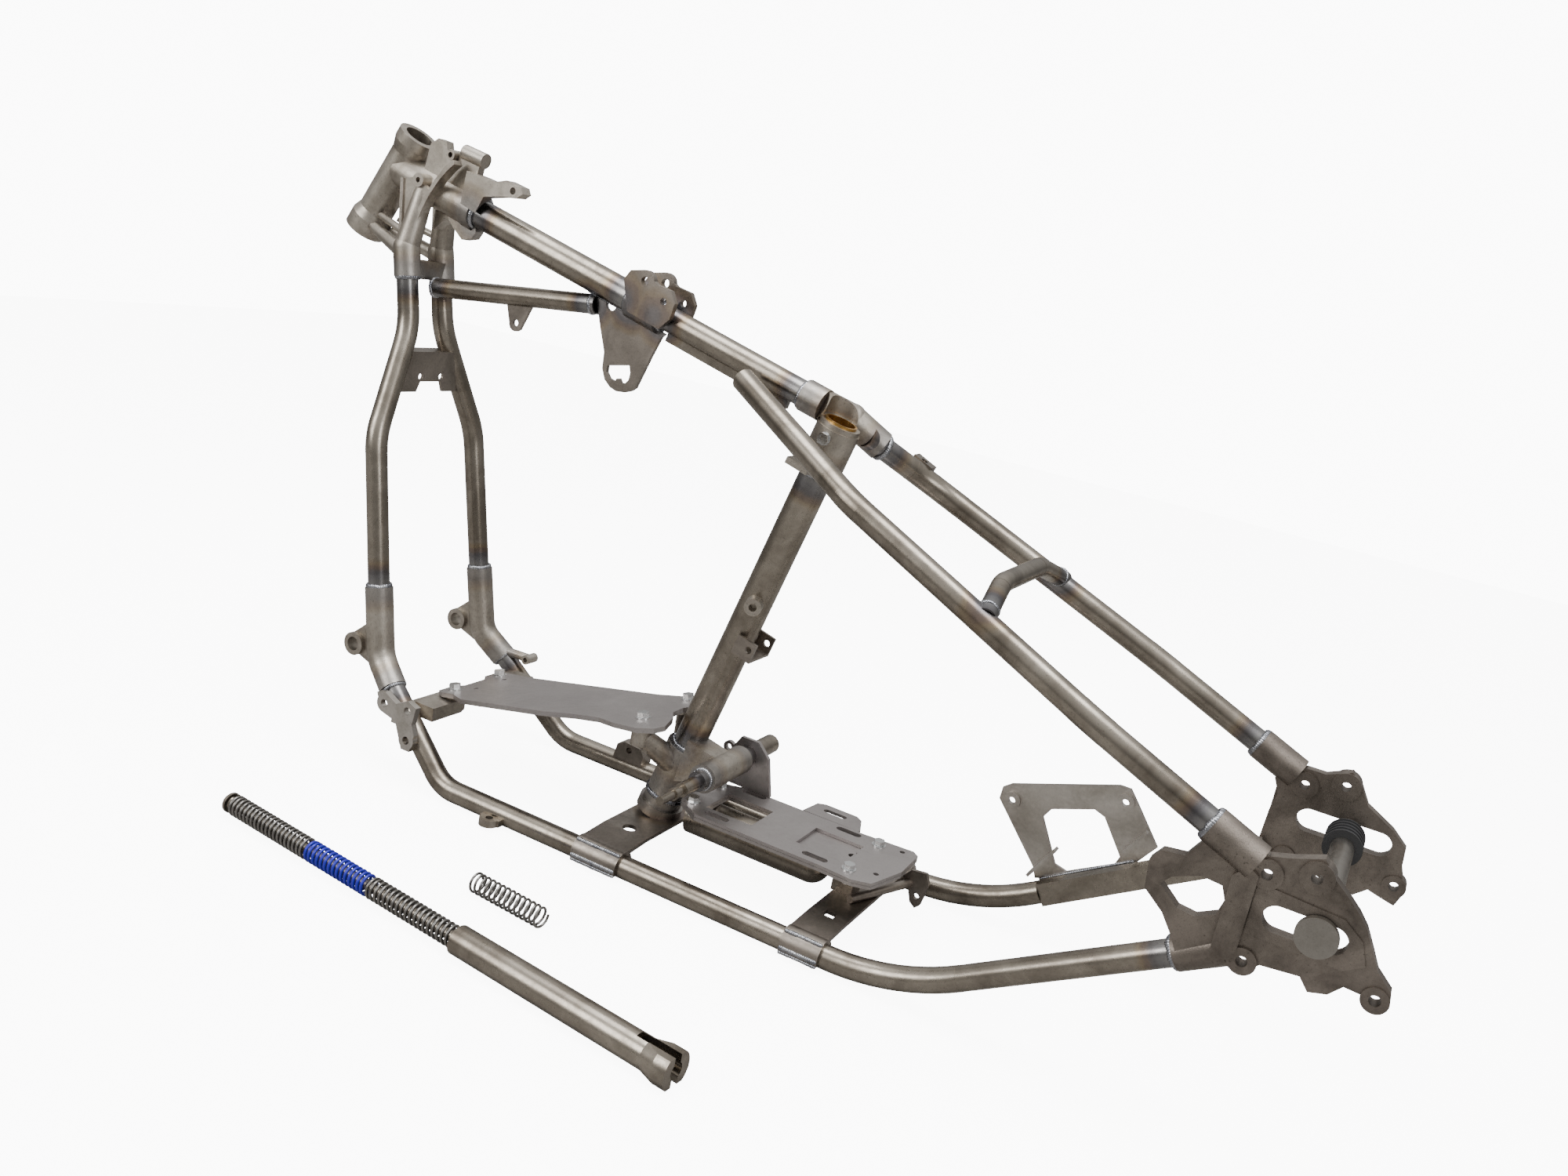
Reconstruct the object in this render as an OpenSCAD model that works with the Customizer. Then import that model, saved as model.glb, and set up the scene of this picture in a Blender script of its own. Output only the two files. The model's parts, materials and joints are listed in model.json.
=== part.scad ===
// Rigid motorcycle frame kit: a wishbone cradle frame in bare steel, with its
// rear axle, and two loose pieces lying beside it. All lengths in millimetres.
// +X runs to the rear of the frame, +Y to its right, +Z up.
// The origin is the rear axle's centre on the frame's centre plane.

/* [Tubes] */
// Outer diameter of the downtubes and rails
rail_d = 28.6; // [28.4:0.1:28.8]
// Wall of the downtubes and rails
rail_wall = 2.4; // [2:0.1:3]
// Outer diameter of the backbone
backbone_d = 38.1; // [38:0.1:38.2]
// Outer diameter of the backbone's rear length
backbone_rear_d = 31.8; // [31.6:0.1:31.8]
// Outer diameter of the seat post
post_d = 41.3; // [41:0.1:41.5]
// Outer diameter of the brace under the backbone
brace_d = 25.4; // [25:0.1:25.8]

/* [Neck] */
// Bore for the steering head cups
neck_bore_d = 37; // [36:0.1:38]
// Length of the steering head along its axis
neck_len = 156; // [155:1:157]
// Rake of the steering head from upright
neck_rake = 30; // [29.8:0.1:30.2]

/* [Rear axle] */
// Diameter of the axle
axle_d = 25.4; // [25:0.1:25.6]
// Length of the left axle slot, end to end
slot_len = 78; // [76:1:80]
// Length of the right axle slot, end to end
slot_len_right = 104; // [102:1:106]
// Height of each axle slot
slot_h = 27.5; // [27:0.1:27.8]

/* [Mounting plates] */
// Thickness of the engine plate
engine_plate_t = 6.35; // [6:0.05:6.5]
// Thickness of each transmission plate
trans_plate_t = 4; // [3.5:0.1:4]
// Hole diameter of the engine bolts
engine_hole_d = 9.6; // [9.6:0.1:10]

/* [Loose pieces] */
// Outer diameter of the plunger tube
plunger_d = 33; // [33:0.5:34]
// Outer diameter of the springs
spring_d = 26; // [25.6:0.1:26.4]

/* [View] */
// Which piece to show

/* [Hidden] */
$fn = 48;
axle_x = 15.5;
axle_z = 263.3;
rail_y = 132.3;
rail_z = 14.3;
plate_y = 155;
neck_low = [-1399.9, 0, 687.1];
bb_slope = 13.8;
bb_start = [-1262, 0, 754.3];
seat_low = [-774.6, 0, 64.6];
seat_lean = 15.05;
dt_path = [[-1288.5, 33.4, 664], [-1271, 33.4, 575], [-1247, 97.2, 434], [-1203.5, 102.8, 217]];
forge_path = [[-1206.6, 102.6, 236], [-1187, 105, 142], [-1150, 115.6, 111]];
rail_path = [[-1160, 113.7, 121.5], [-1033, 132, rail_z], [-377, 132.6, rail_z], [-72, 145.5, 203.4]];
up_left = [[-752, -36, 617], [-548, -124, 527.5], [-235, -158, 390], [-78, -158.7, 321]];
up_right = [[-612, 36, 579], [-548, 124, 527.5], [-235, 158, 390], [-78, 158.7, 321]];

// ---- shared shapes ----

// moves everything so that the rear axle's centre is the origin
module place() { translate([-axle_x, 0, -axle_z]) children(); }

function unit(v) = v / norm(v);

// a straight rod or tube from p to q
module rod(p, q, d, bore = 0) {
  v = q - p;
  translate(p)
    rotate([0, acos(v[2] / norm(v)), atan2(v[1], v[0])])
      linear_extrude(norm(v))
        difference() {
          circle(d = d);
          if (bore > 0) circle(d = bore);
        }
}

// a cone from p to q
module taper_rod(p, q, d1, d2) {
  v = q - p;
  translate(p)
    rotate([0, acos(v[2] / norm(v)), atan2(v[1], v[0])])
      cylinder(d1 = d1, d2 = d2, h = norm(v));
}

// turns the X and Y axes onto u and w, at point c
module frame_at(c, u, w) {
  k = cross(u, w);
  multmatrix([[u[0], w[0], k[0], c[0]], [u[1], w[1], k[1], c[1]], [u[2], w[2], k[2], c[2]]])
    children();
}

// one bend at corner b between points a and c
module elbow(a, b, c, r, d, bore) {
  u = unit(b - a);
  v = unit(c - b);
  ang = acos(u * v);
  n = unit(v - u * (u * v));
  frame_at(b - u * r * tan(ang / 2) + n * r, -n, u)
    rotate_extrude(angle = ang, $fn = 96)
      translate([r, 0])
        difference() {
          circle(d = d + 0.3, $fn = 48);
          if (bore > 0) circle(d = bore - 0.3, $fn = 48);
        }
}

function bend_angle(a, b, c) = acos(unit(b - a) * unit(c - b));

// a tube bent at each inner point of the path, one radius a bend
module bent_tube(path, radii, d, bore = 0) {
  n = len(path);
  for (i = [0 : n - 2]) {
    u = unit(path[i + 1] - path[i]);
    back = i == 0 ? 0 : radii[i - 1] * tan(bend_angle(path[i - 1], path[i], path[i + 1]) / 2);
    ahead = i == n - 2 ? 0 : radii[i] * tan(bend_angle(path[i], path[i + 1], path[i + 2]) / 2);
    lap_in = i == 0 ? 0 : 1;
    lap_out = i == n - 2 ? 0 : 1;
    rod(path[i] + u * (back - lap_in), path[i + 1] - u * (ahead - lap_out), d, bore);
  }
  for (i = [1 : n - 2]) elbow(path[i - 1], path[i], path[i + 1], radii[i - 1], d, bore);
}

// a plate standing in the X-Z plane, its middle at y
module side_plate(y, t) {
  translate([0, y + t / 2, 0])
    rotate([90, 0, 0])
      linear_extrude(t)
        children();
}

// a round hole through a standing plate
module side_hole(x, y, z, d, depth) {
  translate([x, y, z]) rotate([90, 0, 0]) cylinder(d = d, h = depth, center = true);
}

// a path or point carried to the other side of the frame
function mirrored(path) = [for (p = path) [p[0], -p[1], p[2]]];

// hexagon head bolt pointing down from z = 0, with a plain shank
module hex_bolt(d, across, head_h, len) {
  translate([0, 0, 0.2]) cylinder(d = across / cos(30), h = head_h, $fn = 6);
  translate([0, 0, -len]) cylinder(d = d, h = len + 0.3);
}

// ---- neck ----

// moves to the steering head: bottom of the bore, axis up
module at_neck() { translate(neck_low) rotate([0, neck_rake, 0]) children(); }

// moves to the front end of the backbone, X along the tube
module at_backbone() { translate(bb_start) rotate([0, bb_slope, 0]) children(); }

module backbone_outer(x0, x1, d) {
  at_backbone() translate([x0, 0, 0]) rotate([0, 90, 0]) cylinder(d = d, h = x1 - x0);
}

module neck_bore_cut() {
  at_neck() translate([0, 0, -20]) cylinder(d = neck_bore_d, h = neck_len + 40, $fn = 72);
}

module neck_casting() {
  color("#b9b2a6") place() difference() {
    union() {
      at_neck() {
        cylinder(d = 56, h = 22);
        translate([0, 0, 22]) cylinder(d1 = 56, d2 = 47, h = 12);
        translate([0, 0, 30]) cylinder(d = 47, h = neck_len - 44);
        translate([0, 0, neck_len - 28]) cylinder(d1 = 47, d2 = 55, h = 14);
        translate([0, 0, neck_len - 14]) cylinder(d = 55, h = 14);
      }
      backbone_outer(-84, 60, 48);
      backbone_outer(44, 60, 51);
      // lock boss on the left flank
      side_hole(-1281, -28, 767, 18, 20);
    }
    side_hole(-1281, -34, 767, 7, 12);
    backbone_outer(0, 70, backbone_d);
    backbone_outer(-40, 10, 30);
    neck_bore_cut();
  }
}

module brace_outer() { rod([-1262, 0, 632], [-997, 0, 659.8], brace_d); }

module downtubes_cut() {
  for (p = [dt_path, mirrored(dt_path)]) bent_tube(p, [110, 110], rail_d);
}

// hook shaped web behind the legs, down to the brace tube
module neck_gusset() {
  color("#b9b2a6") place() difference() {
    side_plate(0, 16)
      polygon([[-1271, 708], [-1262, 716], [-1250, 726], [-1240, 716], [-1222, 702], [-1206, 706],
        [-1200, 716], [-1206, 738], [-1271, 750]]);
    backbone_outer(-90, 43, 48);
    backbone_outer(42, 62, 51);
    backbone_outer(58, 100, backbone_d);
  }
}

module leg_pair() {
  for (s = [-1, 1]) neck_arm(s);
}

// one side: a thin arm from the head's foot, a leg with a flanged web, and the socket
module neck_arm(s) {
  low = [-1291, 33.4 * s, 678];
  taper_rod([-1380, 12 * s, 697], [-1300, 33.4 * s, 672], 15, 20);
  taper_rod([-1380, 10 * s, 716], [-1298, 31 * s, 696], 10, 10);
  taper_rod([-1281, 22 * s, 758], low, 26, 33);
  translate(low) sphere(d = 35);
  rod(low, [-1283.4, 33.4 * s, 641], 35.5);
  side_plate(s * 30.5, 7) polygon([[-1312, 765], [-1286, 771], [-1262, 755], [-1272, 736], [-1281, 714],
    [-1287, 694], [-1289, 664], [-1302, 664], [-1308, 722]]);
  side_plate(s * 35, 4) polygon([[-1312, 765], [-1307, 766], [-1303, 722], [-1297, 664], [-1302, 664], [-1308, 722]]);
}

// the rib that curves over the left flank and down the leg's rear edge
module neck_rib() {
  side_plate(-29.5, 16) polygon([[-1227, 800], [-1238, 791], [-1250, 776], [-1263, 756], [-1273, 737],
    [-1282, 715], [-1290, 694], [-1293, 673], [-1288, 673], [-1285, 692], [-1276.5, 712], [-1268, 734],
    [-1258.5, 753], [-1246, 772], [-1234, 786], [-1224, 795]]);
}

module neck_arms() {
  color("#b9b2a6") place() difference() {
    union() {
      leg_pair();
      neck_rib();
      // web joining both sockets, with the brace tube's seat
      translate([-1292, -30, 640]) cube([20, 60, 24]);
    }
    at_neck() translate([0, 0, -30]) cylinder(d = 56.2, h = 60);
    at_neck() translate([0, 0, 20]) cylinder(d = 60, h = 60);
    at_neck() translate([0, 0, 70]) cylinder(d = 55.4, h = 90);
    backbone_outer(-110, 44.2, 48);
    backbone_outer(43.8, 61, 51.2);
    side_hole(-1281, -34, 767, 18.2, 30);
    downtubes_cut();
    brace_outer();
    side_plate(0, 1) translate([-1400, 665]) square([300, 200]);
  }
}

module neck_lugs() {
  color("#b9b2a6") place() difference() {
    union() {
      // web along the top of the sleeve
      side_plate(-7, 14) polygon([[-1296, 770], [-1288, 816], [-1276, 824], [-1262, 822], [-1256, 802],
        [-1240, 800], [-1226, 794], [-1204, 784], [-1184, 776], [-1190, 744], [-1240, 750]]);
      // cable barrel and its small boss
      rod([-1232, -10, 813], [-1196, -10, 806], 20);
      side_plate(-8, 12) polygon([[-1240, 780], [-1238, 812], [-1202, 802], [-1206, 780]]);
      side_hole(-1246, -10, 806, 14, 24);
      // tank ear reaching rearward over the backbone
      side_plate(-17, 18) polygon([[-1216, 748], [-1212, 790], [-1188, 787], [-1166, 783], [-1146, 788],
        [-1122, 783], [-1118, 775], [-1126, 769], [-1152, 767], [-1180, 762], [-1190, 740]]);
    }
    side_hole(-1134, -17, 776.5, 9, 60);
    side_hole(-1246, -16, 806, 7, 20);
    side_plate(-19, 8) translate([-1202, 768]) rotate(-8) square([34, 7]);
    backbone_outer(-110, 44, 48);
    backbone_outer(43, 60, 51);
    backbone_outer(59, 200, 52);
    at_neck() {
      translate([0, 0, -20]) cylinder(d = 47, h = neck_len + 40);
      translate([0, 0, neck_len - 28]) cylinder(d1 = 47, d2 = 55, h = 14);
      translate([0, 0, neck_len - 14]) cylinder(d = 55, h = 40);
    }
  }
}

// ---- backbone ----

module backbone_front() {
  color("#8d8378") place()
    at_backbone() rotate([0, 90, 0]) linear_extrude(376)
      difference() {
        circle(d = backbone_d);
        circle(d = backbone_rear_d + 0.1);
      }
}

module backbone_rear() {
  color("#8d8378") place() difference() {
    at_backbone() translate([340, 0, 0]) rotate([0, 90, 0]) linear_extrude(280)
      difference() {
        circle(d = backbone_rear_d);
        circle(d = backbone_rear_d - 6);
      }
    head_body();
    for (p = [up_left]) bent_tube(p, [110, 400], rail_d);
  }
}

module backbone_strip() {
  color("#8d8378") place() difference() {
    at_backbone() translate([392, -4, -backbone_rear_d / 2 - 10]) cube([186, 8, 14]);
    backbone_outer(300, 640, backbone_rear_d);
    bent_tube(up_left, [110, 400], rail_d);
    head_body();
  }
}

module top_bracket_profile() {
  difference() {
    union() {
      polygon([[-946, 700], [-938, 712], [-918, 716], [-898, 702], [-876, 698], [-868, 684], [-872, 664],
        [-886, 650], [-934, 662]]);
      translate([-915, 703]) circle(d = 26);
      translate([-884.5, 683.5]) circle(d = 28);
    }
    translate([-915, 703]) circle(d = 11);
    translate([-884.5, 683.5]) circle(d = 9);
  }
}

module top_engine_bracket() {
  color("#a49b8e") place() difference() {
    union() {
      for (s = [-1, 1]) side_plate(s * 23.1, 8) top_bracket_profile();
      at_backbone() translate([328, 0, 0]) rotate([0, 90, 0]) linear_extrude(48)
        difference() {
          circle(d = backbone_d + 10);
          circle(d = backbone_d);
        }
    }
    backbone_outer(300, 420, backbone_d);
    side_hole(-915, 0, 703, 11, 80);
    side_hole(-884.5, 0, 683.5, 9, 80);
    side_plate(0, 6.1) translate([-1500, -650]) square([3000, 1317]);
  }
}

module engine_hanger() {
  color("#5b5a5c") place() difference() {
    side_plate(0, 6)
      difference() {
        polygon([[-1000, 684], [-999, 668], [-986, 632], [-975, 604], [-974, 583], [-968, 570], [-958, 562],
          [-948, 559], [-936, 560], [-926, 564], [-920, 569], [-905, 612], [-895, 638], [-884, 650], [-900, 664]]);
        polygon([[-967, 588], [-967, 580], [-961, 573], [-952, 570.5], [-950, 575], [-946, 576], [-943, 571],
          [-937, 571], [-932, 577], [-931, 586], [-934, 595]]);
        translate([-975, 664]) circle(d = 16);
      }
    backbone_outer(0, 640, backbone_d);
    brace_outer();
  }
}

module brace_tube() {
  color("#8d8378") place() difference() {
    rod([-1262, 0, 632], [-997, 0, 659.8], brace_d, brace_d - 4.2);
    downtubes_cut();
    backbone_outer(0, 640, backbone_d);
  }
}

module brace_tab() {
  color("#5b5a5c") place() difference() {
    side_plate(0, 5)
      difference() {
        union() {
          polygon([[-1140, 640], [-1128, 604], [-1112, 604], [-1096, 642]]);
          translate([-1120, 611]) circle(d = 20);
        }
        translate([-1120, 612]) circle(d = 9);
      }
    brace_outer();
  }
}

// ---- downtubes and front forgings ----

module downtube_left() {
  color("#8d8378") place() bent_tube(mirrored(dt_path), [110, 110], rail_d, rail_d - 2 * rail_wall);
}

module downtube_right() {
  color("#8d8378") place() bent_tube(dt_path, [110, 110], rail_d, rail_d - 2 * rail_wall);
}

module downtube_bracket() {
  color("#a49b8e") place() difference() {
    union() {
      // face with two bolt holes
      translate([-1256, 0, 519]) rotate([90, 0, 90]) linear_extrude(4)
        difference() {
          polygon([[-56, -28], [-40, 27], [40, 27], [56, -28], [26, -28], [20, -14], [-20, -14], [-26, -28]]);
          for (s = [-1, 1]) translate([s * 20, -7]) circle(d = 9);
        }
      // shelf folded back along the top
      translate([-1284, -42, 542]) cube([32, 84, 4]);
    }
    downtubes_cut();
  }
}

module rail_outer(s) { bent_tube(s > 0 ? rail_path : mirrored(rail_path), [60, 300], rail_d); }

// hollow end socket of a tube's path, cut from a casting
module front_forging(s) {
  path = s > 0 ? forge_path : mirrored(forge_path);
  difference() {
    union() {
      bent_tube(path, [42], 37);
      side_hole(-1229, s * 104, 150, 32, 24);
      side_plate(s * 104, 13) polygon([[-1240, 156], [-1224, 137], [-1180, 122], [-1180, 186],
        [-1212, 184], [-1234, 165]]);
      if (s > 0) side_hole(-1103, 116, 122, 14, 22);
      if (s > 0) rod([-1140, 113, 122], [-1103, 116, 122], 13);
    }
    side_hole(-1229, s * 104, 150, 19, 60);
    bent_tube(s > 0 ? dt_path : mirrored(dt_path), [110, 110], rail_d);
    rail_outer(s);
    if (s > 0) side_hole(-1103, 116, 122, 7, 40);
  }
}

module front_forging_left() { color("#b9b2a6") place() front_forging(-1); }

module front_forging_right() { color("#b9b2a6") place() front_forging(1); }

// bosses reaching inward from each side for the engine plate's front bolts
module engine_pads() {
  color("#b9b2a6") place() difference() {
    for (s = [-1, 1]) {
      translate([-1100, s * 47.5, 84]) cylinder(d = 30, h = 30);
      translate([-1127, s * 77 - 30, 82]) cube([42, 60, 19]);
    }
    for (s = [-1, 1]) {
      at_engine_plate() translate([0, s * 47.5, -80]) cylinder(d = engine_hole_d, h = 100);
      rail_outer(s);
      bent_tube(s > 0 ? forge_path : mirrored(forge_path), [42], 37);
    }
    at_engine_plate() translate([-100, -300, -0.02]) cube([300, 600, 80]);
  }
}

module side_stand_plate() {
  color("#c8c2b6") place() difference() {
    union() {
    side_plate(-134.7, 10) polygon([[-1126, 76], [-1106, 76], [-1104, 96], [-1126, 98]]);
    side_plate(-143.5, 9)
      difference() {
        union() {
          polygon([[-1148, 114], [-1138, 90], [-1112, 84], [-1097, 50], [-1083, 50], [-1078, 74],
            [-1084, 88], [-1080, 112], [-1094, 118], [-1114, 108], [-1134, 118]]);
          translate([-1134, 102]) circle(d = 25);
          translate([-1094, 104]) circle(d = 25);
          translate([-1090.5, 64]) circle(d = 25);
        }
        translate([-1134, 102]) circle(d = 11);
        translate([-1094, 104]) circle(d = 11);
        translate([-1090.5, 64]) circle(d = 11);
      }
    }
    rail_outer(-1);
    bent_tube(mirrored(forge_path), [42], 37);
  }
}

// ---- engine plate ----

// moves to the engine plate: its own sloping plane, X along the plate
module at_engine_plate() { translate([-1100, 0, 104.3]) rotate([0, -11.9, 0]) children(); }

module engine_plate() {
  color("#4a4a4d") place() at_engine_plate()
    linear_extrude(engine_plate_t)
      difference() {
        polygon([[-16, -62], [-4, -70], [18, -72], [44, -88], [176, -88], [226, -80], [262, -80], [292, -92],
          [330, -100], [352, -92], [358, -76], [346, -40], [330, -12], [330, 12], [346, 40], [340, 62],
          [326, 70], [300, 68], [262, 60], [90, 58], [44, 58], [12, 64], [-6, 64], [-16, 54],
          [-16, 34], [-4, 22], [-4, -22], [-16, -34]]);
        for (s = [-1, 1]) {
          translate([0, s * 47.5]) circle(d = engine_hole_d);
          translate([312, s * 54.6]) circle(d = engine_hole_d);
          translate([22, s * 30]) circle(d = 7);
        }
      }
}

module engine_plate_bolts() {
  color("#c9c7c2") place() at_engine_plate()
    for (p = [[0, 47.5], [312, 54.6]])
      for (s = [-1, 1])
        translate([p[0], s * p[1], engine_plate_t]) {
          cylinder(d = 20, h = 1.6);
          translate([0, 0, 1.6]) hex_bolt(9.5, 14.3, 6.4, 24);
        }
}

// ---- lower rails ----

module lower_rail_left() {
  color("#8d8378") place() difference() {
    bent_tube(mirrored(rail_path), [60, 300], rail_d, rail_d - 2 * rail_wall);
  }
}

module lower_rail_right() {
  color("#8d8378") place() difference() {
    bent_tube(rail_path, [60, 300], rail_d, rail_d - 2 * rail_wall);
    bar_cut();
  }
}

// the right rail's rectangular bar, from behind the bend up to the axle plate
module at_bar() { translate([-296, 136.1, 62.6]) rotate([0, -31.6, 2.4]) children(); }

module bar_cut() { at_bar() translate([0, -40, -40]) cube([400, 80, 80]); }

module rail_bar_right() {
  color("#8d8378") place() difference() {
    at_bar() translate([0, -10, -14.3]) cube([250, 20, 28.6]);
    bar_end_cut();
  }
}

module bar_end_cut() { at_bar() translate([236, -40, -60]) cube([200, 80, 120]); }

module rail_lug_left() {
  color("#b9b2a6") place() difference() {
    union() {
      translate([-937, -152, 4]) cylinder(d = 26, h = 9);
      translate([-952, -152, 4]) cube([30, 18, 9]);
    }
    translate([-937, -152, -5]) cylinder(d = 10, h = 30);
    rail_outer(-1);
  }
}

module rail_clamp_right() {
  color("#a49b8e") place() difference() {
    union() {
      side_plate(rail_y, 26) polygon([[-936, 24], [-932, 46], [-920, 52], [-892, 50], [-886, 40], [-888, 24]]);
    }
    rail_outer(1);
    side_hole(-911, rail_y, 42, 9, 60);
  }
}

// a curved sheet bridging both rails, saddled over each
module crossmember(x, w, rise) {
  top = rail_z + rise;
  y1 = rail_y - 4;
  difference() {
    union() {
      for (s = [-1, 1]) rod([x - w / 2, s * rail_y, rail_z], [x + w / 2, s * rail_y, rail_z], 38);
      translate([x, 0, 0]) rotate([90, 0, 90]) linear_extrude(w - 0.6, center = true)
        polygon([[-y1, rail_z + 18], [-84, top], [84, top], [y1, rail_z + 18], [y1, rail_z + 13],
          [y1 - 6, rail_z + 13], [82, top - 5], [-82, top - 5], [6 - y1, rail_z + 13], [-y1, rail_z + 13]]);
    }
    translate([x - w, -200, -30]) cube([2 * w, 400, rail_z + 22]);
  }
}

module front_crossmember() {
  color("#a49b8e") place() difference() {
    crossmember(-777, 66, 21);
    for (s = [-1, 1]) rail_outer(s);
    translate([-777, -74, 20]) cylinder(d = 18, h = 60);
  }
}

module rear_crossmember() {
  color("#a49b8e") place() difference() {
    crossmember(-489, 50, 19.5);
    for (s = [-1, 1]) rail_outer(s);
    translate([-496, -80, 20]) cube([14, 14, 60]);
  }
}

module centre_tube() {
  color("#8d8378") place() difference() {
    union() {
      rod([-729.4, 0, 50], [-553, 0, 50], 50, 44);
      translate([-553, 0, 50]) intersection() {
        sphere(d = 50);
        translate([0, -50, -50]) cube([100, 100, 100]);
      }
    }
    rod([-729.4, 0, 50], [-552.9, 0, 50], 44);
    seat_casting_body();
    for (s = [-1, 1]) translate([-730, s * 48, 60]) rotate([0, 90, 0]) cylinder(d = 12, h = 250);
  }
}

module rear_post() {
  color("#8d8378") place() translate([-503, 0, 33.8]) difference() {
    translate([-14, -14, 0]) cube([28, 28, 41.6]);
    translate([0, 0, -1]) cylinder(d = 10.4, h = 60);
  }
}

// a bar lying on the rear sheet, its right end folded down as a tab
module rear_bar() {
  color("#c8c2b6") place() difference() {
    union() {
      rod([-484, -30, 39.4], [-445, 72, 39.4], 11);
      side_plate(72, 6) polygon([[-456, 46], [-446, 58], [-426, 60], [-420, 46], [-426, 16], [-432, 10],
        [-440, 16], [-446, 34]]);
    }
    side_hole(-433, 72, 26, 8, 30);
  }
}

// ---- seat post ----

// moves to the seat post's foot, Z up along the post
module at_post() { translate(seat_low) rotate([0, seat_lean, 0]) children(); }

module seat_casting_body() {
  difference() {
    union() {
      at_post() {
        translate([0, 0, -28]) cylinder(d = 60, h = 14);
        translate([0, 0, -16]) cylinder(d = 52, h = 92);
        translate([0, 0, 60]) cylinder(d = 55, h = 16);
      }
      for (s = [-1, 1]) {
        taper_rod([-766, s * 10, 112], [-794, s * 54.6, 150], 34, 26);
        translate([-794.7, s * 54.6, 140]) cylinder(d = 26, h = 60);
      }
      rod([-694, -62, 130], [-694, 34, 130], 37);
      side_plate(-10, 36) polygon([[-752, 96], [-700, 113], [-688, 146], [-706, 148], [-742, 156]]);
    }
    rod([-694, -90, 130], [-694, 60, 130], 25.4);
    at_engine_plate() translate([0, -300, -0.02]) cube([700, 600, 80]);
    for (s = [-1, 1]) at_engine_plate() translate([312, s * 54.6, -80]) cylinder(d = engine_hole_d, h = 200);
    at_post() translate([0, 0, -5]) cylinder(d = post_d, h = 200);
    translate([-900, -100, -80]) cube([300, 200, 115.3]);
    for (s = [-1, 1]) translate([-794.7, s * 54.6, 60]) cylinder(d = engine_hole_d, h = 200);
  }
}

module seat_post_casting() { color("#b9b2a6") place() seat_casting_body(); }

module seat_post_tube() {
  color("#8d8378") place() difference() {
    at_post() translate([0, 0, -5]) linear_extrude(508)
      difference() {
        circle(d = post_d);
        circle(d = post_d - 5.2);
      }
  }
}

module seat_post_boss() {
  color("#b9b2a6") place() difference() {
    at_post() translate([0, 0, 301]) rotate([90, 0, 20]) cylinder(d = 22, h = 36);
    at_post() cylinder(d = post_d, h = 460);
    at_post() translate([0, 0, 301]) rotate([90, 0, 20]) translate([0, 0, 24]) cylinder(d = 10, h = 20);
  }
}

module seat_post_bracket() {
  color("#5b5a5c") place() difference() {
    at_post() {
      translate([8, -26, 232]) cube([28, 52, 4]);
      for (s = [-1, 1]) translate([8, s * 24 - 2, 232]) cube([28, 4, 26]);
    }
    at_post() cylinder(d = post_d, h = 460);
    at_post() translate([28, 0, 247]) rotate([90, 0, 0]) cylinder(d = 9, h = 80, center = true);
  }
}

// the head's outer body, also used to cut the tubes that meet it
module head_body() {
  at_post() {
    translate([0, 0, 478]) cylinder(d = 54, h = 60);
    translate([0, 0, 534]) cylinder(d = 50, h = 10);
  }
}

module seat_post_head() {
  color("#b9b2a6") place() difference() {
    union() {
      head_body();
      // arch from the end of the backbone
      backbone_outer(594, 622, 40);
      rod([-665, 0, 607.6], [-636, 34, 594], 38.2);
      translate([-636, 34, 594]) sphere(d = 39);
      rod([-636, 34, 594], [-599, 54, 568.8], 37.6);
      translate([-646, 0, 572]) rotate([0, seat_lean, 0]) translate([-4, -78, -32]) cube([30, 84, 8]);
    }
    at_post() translate([0, 0, 470]) cylinder(d = post_d, h = 34);
    at_post() translate([0, 0, 480]) cylinder(d = 40, h = 90);
    at_post() translate([0, 0, 547]) cylinder(d = 46, h = 90);
    backbone_outer(560, 621, backbone_rear_d);
    bent_tube(up_right, [110, 400], rail_d);
    bent_tube(up_left, [110, 400], rail_d);
    at_post() translate([0, 25, 524]) rotate([0, 90, 0]) cylinder(d = 9, h = 120, center = true);
    backbone_outer(300, 380, 60);
  }
}

module seat_post_bush() {
  color("#a8814a") place() at_post() translate([0, 0, 510]) linear_extrude(37)
    difference() {
      circle(d = 40);
      circle(d = 35, $fn = 72);
    }
}

module head_clamp_bolt() {
  color("#c9c7c2") place() at_post() translate([0, -29, 526]) rotate([90, 0, 0]) {
    translate([0, 0, -1.8]) cylinder(d = 13 / cos(30), h = 7, $fn = 6);
    translate([0, 0, -2]) cylinder(d = 16, h = 1.5);
  }
}

// ---- cradle fittings ----

module cross_shaft() {
  color("#a49b8e") place() {
    rod([-694, -76, 130], [-694, 119.6, 130], 25.4, 16);
    rod([-694, -112, 130], [-694, -74, 130], 18);
    rod([-694, -160, 130], [-694, -110, 130], 11);
    rod([-694, -132, 130], [-694, -124, 130], 15);
  }
}

module hoop_plate() {
  color("#4a4a4d") place() difference() {
    union() {
      side_plate(58, 6) polygon([[-722, 84.4], [-722, 128], [-708, 152], [-682, 152], [-664, 134], [-652, 84.4]]);
      side_hole(-724, 58, 132, 16, 6);
    }
    rod([-694, -130, 130], [-694, 130, 130], 25.4);
    side_hole(-724, 58, 132, 8, 20);
  }
}

module trans_outline() {
  polygon([[-729, -40], [-720, -48], [-694, -66], [-520, -65], [-474, -68], [-452, -59], [-437, 0],
    [-439, 58], [-448, 66], [-520, 60], [-690, 58], [-706, 50], [-718, 46], [-728, 34]]);
}

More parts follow.
